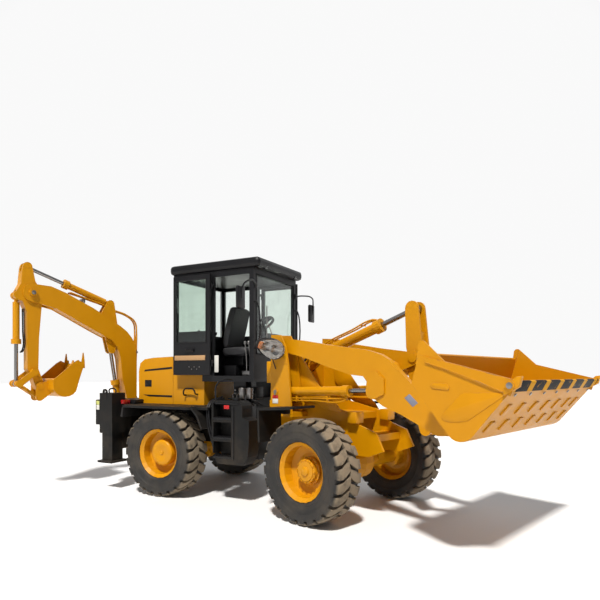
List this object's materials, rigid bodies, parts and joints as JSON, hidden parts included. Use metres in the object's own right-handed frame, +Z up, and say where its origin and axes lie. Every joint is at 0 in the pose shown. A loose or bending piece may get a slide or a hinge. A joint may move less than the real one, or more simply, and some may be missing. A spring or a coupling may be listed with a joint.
{
  "type": "articulated backhoe loader",
  "caption": "Articulated wheel loader with a front bucket, a closed cab over the steering joint and a rear backhoe arm with stabilizer legs.",
  "frame": {"origin": "centre of the bounding box at ground level", "axes": "+X forward along the rear frame, +Y to the machine's left, +Z up"},
  "size_m": [7.3682, 3.2388, 3.2582],
  "materials": {
    "black": "satin",
    "glass": "clear",
    "lamp": "clear lens",
    "rubber": "matt",
    "steel": "polished",
    "vinyl": "matt",
    "yellow": "glossy"
  },
  "bodies": {
    "chassis": {"rear_frame": "black", "rear_axle": "yellow", "tank_right": "black", "tank_left": "black", "rear_deck": "black", "engine_block": "black", "hood_base": "yellow", "cab_frame": "black", "cab_roof": "black", "windshield": "glass", "rear_window": "glass", "operator_seat": "vinyl", "steering_column": "black", "side_window_right": "glass", "side_window_left": "glass"},
    "cab_door_right": {"cab_door_right": "black", "door_glass_right": "glass"},
    "cab_door_left": {"cab_door_left": "black", "door_glass_left": "glass"},
    "front": {"front_frame": "yellow", "front_axle": "yellow", "front_fender_right": "black", "front_fender_left": "black", "headlamp_right": "lamp", "headlamp_left": "lamp"},
    "stabilizer_right": {"stabilizer_leg_right": "black"},
    "stabilizer_left": {"stabilizer_leg_left": "black"},
    "wheel_rear_right": {"tyre_rear_right": "rubber", "rim_rear_right": "yellow"},
    "wheel_rear_left": {"tyre_rear_left": "rubber", "rim_rear_left": "yellow"},
    "wheel_front_right": {"tyre_front_right": "rubber", "rim_front_right": "yellow"},
    "wheel_front_left": {"tyre_front_left": "rubber", "rim_front_left": "yellow"},
    "boom": {"boom": "yellow"},
    "boom_barrel": {"boom_barrel": "yellow"},
    "boom_rod": {"boom_rod": "steel"},
    "dig_barrel": {"dig_barrel": "yellow"},
    "dig_bucket": {"dig_bucket": "yellow"},
    "dig_lever": {"dig_lever": "yellow"},
    "dig_link": {"dig_link": "yellow"},
    "dig_rod": {"dig_rod": "steel"},
    "dipper": {"dipper": "yellow"},
    "dipper_barrel": {"dipper_barrel": "yellow"},
    "dipper_rod": {"dipper_rod": "steel"},
    "engine_hood": {"engine_hood": "yellow"},
    "lift_arm": {"lift_arm": "yellow"},
    "lift_left_barrel": {"lift_left_barrel": "yellow"},
    "lift_left_rod": {"lift_left_rod": "steel"},
    "lift_right_barrel": {"lift_right_barrel": "yellow"},
    "lift_right_rod": {"lift_right_rod": "steel"},
    "loader_bucket": {"loader_bucket": "yellow"},
    "rocker": {"rocker": "yellow"},
    "swing_post": {"swing_post": "yellow"},
    "tilt_barrel": {"tilt_barrel": "yellow"},
    "tilt_base_pin": {"tilt_base_pin": "steel"},
    "tilt_link": {"tilt_link": "yellow"},
    "tilt_rod": {"tilt_rod": "steel"}
  },
  "joints": [
    {"name": "steering", "type": "hinge", "parent": "chassis", "child": "front", "pos_m": [-0.17798, 0.51315, 0], "axis": [0, 0, 1], "range_deg": [-18.65, 51.35]},
    {"name": "arm_lift", "type": "hinge", "parent": "front", "child": "lift_arm", "pos_m": [0.25382, 0.38647, 2.03], "axis": [-0.2815, -0.9596, 0], "range_deg": [-21.5, 50]},
    {"name": "bucket_tilt", "type": "hinge", "parent": "lift_arm", "child": "loader_bucket", "pos_m": [2.7007, -0.33137, 1.16], "axis": [0.2815, 0.9596, 0], "range_deg": [-8, 95]},
    {"name": "swing", "type": "hinge", "parent": "chassis", "child": "swing_post", "pos_m": [-2.92798, 0.61315, 0], "axis": [0, 0, -1], "range_deg": [-16, 164]},
    {"name": "boom", "type": "hinge", "parent": "swing_post", "child": "boom", "pos_m": [-2.99827, 0.36803, 1.06], "axis": [0.9613, -0.2756, 0], "range_deg": [-3, 85]},
    {"name": "dipper", "type": "hinge", "parent": "boom", "child": "dipper", "pos_m": [-3.42413, -1.11712, 2.83], "axis": [-0.9613, 0.2756, 0], "range_deg": [-5, 75]},
    {"name": "dig_bucket", "type": "hinge", "parent": "dipper", "child": "dig_bucket", "pos_m": [-3.39656, -1.021, 1.5], "axis": [-0.9613, 0.2756, 0], "range_deg": [-3, 120]},
    {"name": "engine_hood", "type": "hinge", "parent": "chassis", "child": "engine_hood", "pos_m": [-1.73798, 0.51315, 1.92], "axis": [0, 1, 0], "range_deg": [0, 45]},
    {"name": "cab_door_right", "type": "hinge", "parent": "chassis", "child": "cab_door_right", "pos_m": [-0.95798, -0.13385, 0], "axis": [0, 0, 1], "range_deg": [0, 180]},
    {"name": "stabilizer_right", "type": "slide", "parent": "chassis", "child": "stabilizer_right", "axis": [0, 0, -1], "range_m": [-0.05, 0.45]},
    {"name": "cab_door_left", "type": "hinge", "parent": "chassis", "child": "cab_door_left", "pos_m": [-0.95798, 1.16015, 0], "axis": [0, 0, 1], "range_deg": [0, 180]},
    {"name": "stabilizer_left", "type": "slide", "parent": "chassis", "child": "stabilizer_left", "axis": [0, 0, -1], "range_m": [-0.05, 0.45]},
    {"name": "wheel_rear_right", "type": "hinge", "parent": "chassis", "child": "wheel_rear_right", "pos_m": [-1.58058, -0.35935, 0.5875], "axis": [0, 1, 0], "continuous": true},
    {"name": "wheel_rear_left", "type": "hinge", "parent": "chassis", "child": "wheel_rear_left", "pos_m": [-1.58058, 1.38565, 0.5875], "axis": [0, 1, 0], "continuous": true},
    {"name": "wheel_front_right", "type": "hinge", "parent": "front", "child": "wheel_front_right", "pos_m": [0.82959, -0.69171, 0.5875], "axis": [0.2815, 0.9596, 0], "continuous": true},
    {"name": "wheel_front_left", "type": "hinge", "parent": "front", "child": "wheel_front_left", "pos_m": [1.32082, 0.98272, 0.5875], "axis": [0.2815, 0.9596, 0], "continuous": true},
    {"name": "lift_left_cylinder", "type": "hinge", "parent": "front", "child": "lift_left_barrel", "pos_m": [0.40417, 0.86344, 1.45], "axis": [-0.2815, -0.9596, 0], "range_deg": [-19.82, 45.84]},
    {"name": "lift_left_stroke", "type": "slide", "parent": "lift_left_barrel", "child": "lift_left_rod", "axis": [0.9592, -0.2814, 0.0272], "range_m": [-0.2159, 0.4994]},
    {"name": "lift_right_cylinder", "type": "hinge", "parent": "front", "child": "lift_right_barrel", "pos_m": [0.12267, -0.09612, 1.45], "axis": [-0.2815, -0.9596, 0], "range_deg": [-19.82, 45.84]},
    {"name": "lift_right_stroke", "type": "slide", "parent": "lift_right_barrel", "child": "lift_right_rod", "axis": [0.9592, -0.2814, 0.0272], "range_m": [-0.2159, 0.4994]},
    {"name": "rocker", "type": "hinge", "parent": "lift_arm", "child": "rocker", "pos_m": [1.90427, -0.09772, 1.86], "axis": [-0.2815, -0.9596, 0], "range_deg": [-2.75, 30.49]},
    {"name": "tilt_link", "type": "hinge", "parent": "rocker", "child": "tilt_link", "pos_m": [2.03093, -0.13487, 1.059], "axis": [-0.2815, -0.9596, 0], "range_deg": [-41.47, 3.67]},
    {"name": "tilt_base", "type": "hinge", "parent": "front", "child": "tilt_base_pin", "pos_m": [0.32099, 0.36677, 1.87], "axis": [-0.2815, -0.9596, 0], "range_deg": [-21.28, 49.23]},
    {"name": "tilt_cylinder", "type": "hinge", "parent": "tilt_base_pin", "child": "tilt_barrel", "pos_m": [0.32099, 0.36677, 1.87], "axis": [-0.2815, -0.9596, 0], "range_deg": [-0.238, 0.646]},
    {"name": "tilt_stroke", "type": "slide", "parent": "tilt_barrel", "child": "tilt_rod", "axis": [0.908, -0.2664, 0.3233], "range_m": [-0.2947, 0.0266]},
    {"name": "boom_cylinder", "type": "hinge", "parent": "swing_post", "child": "boom_barrel", "pos_m": [-3.03823, 0.22864, 0.8], "axis": [0.9613, -0.2756, 0], "range_deg": [-2.96, 78.35]},
    {"name": "boom_stroke", "type": "slide", "parent": "boom_barrel", "child": "boom_rod", "axis": [-0.0432, -0.1507, 0.9876], "range_m": [-0.3745, 0.0151]},
    {"name": "dipper_cylinder", "type": "hinge", "parent": "boom", "child": "dipper_barrel", "pos_m": [-3.09887, 0.01717, 2.79], "axis": [0.9613, -0.2756, 0], "range_deg": [-0.31, 1.86]},
    {"name": "dipper_stroke", "type": "slide", "parent": "dipper_barrel", "child": "dipper_rod", "axis": [-0.2617, -0.9127, 0.3139], "range_m": [-0.4603, 0.0326]},
    {"name": "dig_lever", "type": "hinge", "parent": "dipper", "child": "dig_lever", "pos_m": [-3.42054, -1.10463, 1.7], "axis": [0.9613, -0.2756, 0], "range_deg": [-86.8, 2.37]},
    {"name": "dig_link", "type": "hinge", "parent": "dig_lever", "child": "dig_link", "pos_m": [-3.4765, -1.29976, 1.54], "axis": [0.9613, -0.2756, 0], "range_deg": [-1.49, 51.89]},
    {"name": "dig_cylinder", "type": "hinge", "parent": "dipper", "child": "dig_barrel", "pos_m": [-3.4765, -1.29976, 2.78], "axis": [0.9613, -0.2756, 0], "range_deg": [-1.24, 0.23]},
    {"name": "dig_stroke", "type": "slide", "parent": "dig_barrel", "child": "dig_rod", "axis": [0, 0, -1], "range_m": [-0.3558, 0.0108]}
  ],
  "couplings": [
    {"joint": "lift_left_cylinder", "follows": "arm_lift", "ratio": 0.91281},
    {"joint": "lift_left_stroke", "follows": "arm_lift", "m_per_rad": 0.56999},
    {"joint": "lift_right_cylinder", "follows": "arm_lift", "ratio": 0.91281},
    {"joint": "lift_right_stroke", "follows": "arm_lift", "m_per_rad": 0.56999},
    {"joint": "rocker", "follows": "bucket_tilt", "ratio": 0.3188},
    {"joint": "tilt_link", "follows": "bucket_tilt", "ratio": -0.43442},
    {"joint": "tilt_base", "follows": "arm_lift", "ratio": 0.98052},
    {"joint": "tilt_cylinder", "follows": "bucket_tilt", "ratio": 0.0047},
    {"joint": "tilt_stroke", "follows": "bucket_tilt", "m_per_rad": -0.17653},
    {"joint": "boom_cylinder", "follows": "boom", "ratio": 0.91937},
    {"joint": "boom_stroke", "follows": "boom", "m_per_rad": -0.25109},
    {"joint": "dipper_cylinder", "follows": "dipper", "ratio": 0.02213},
    {"joint": "dipper_stroke", "follows": "dipper", "m_per_rad": -0.35013},
    {"joint": "dig_lever", "follows": "dig_bucket", "ratio": -0.72167},
    {"joint": "dig_link", "follows": "dig_bucket", "ratio": 0.43078},
    {"joint": "dig_cylinder", "follows": "dig_bucket", "ratio": -0.00863},
    {"joint": "dig_stroke", "follows": "dig_bucket", "m_per_rad": -0.1689}
  ]
}
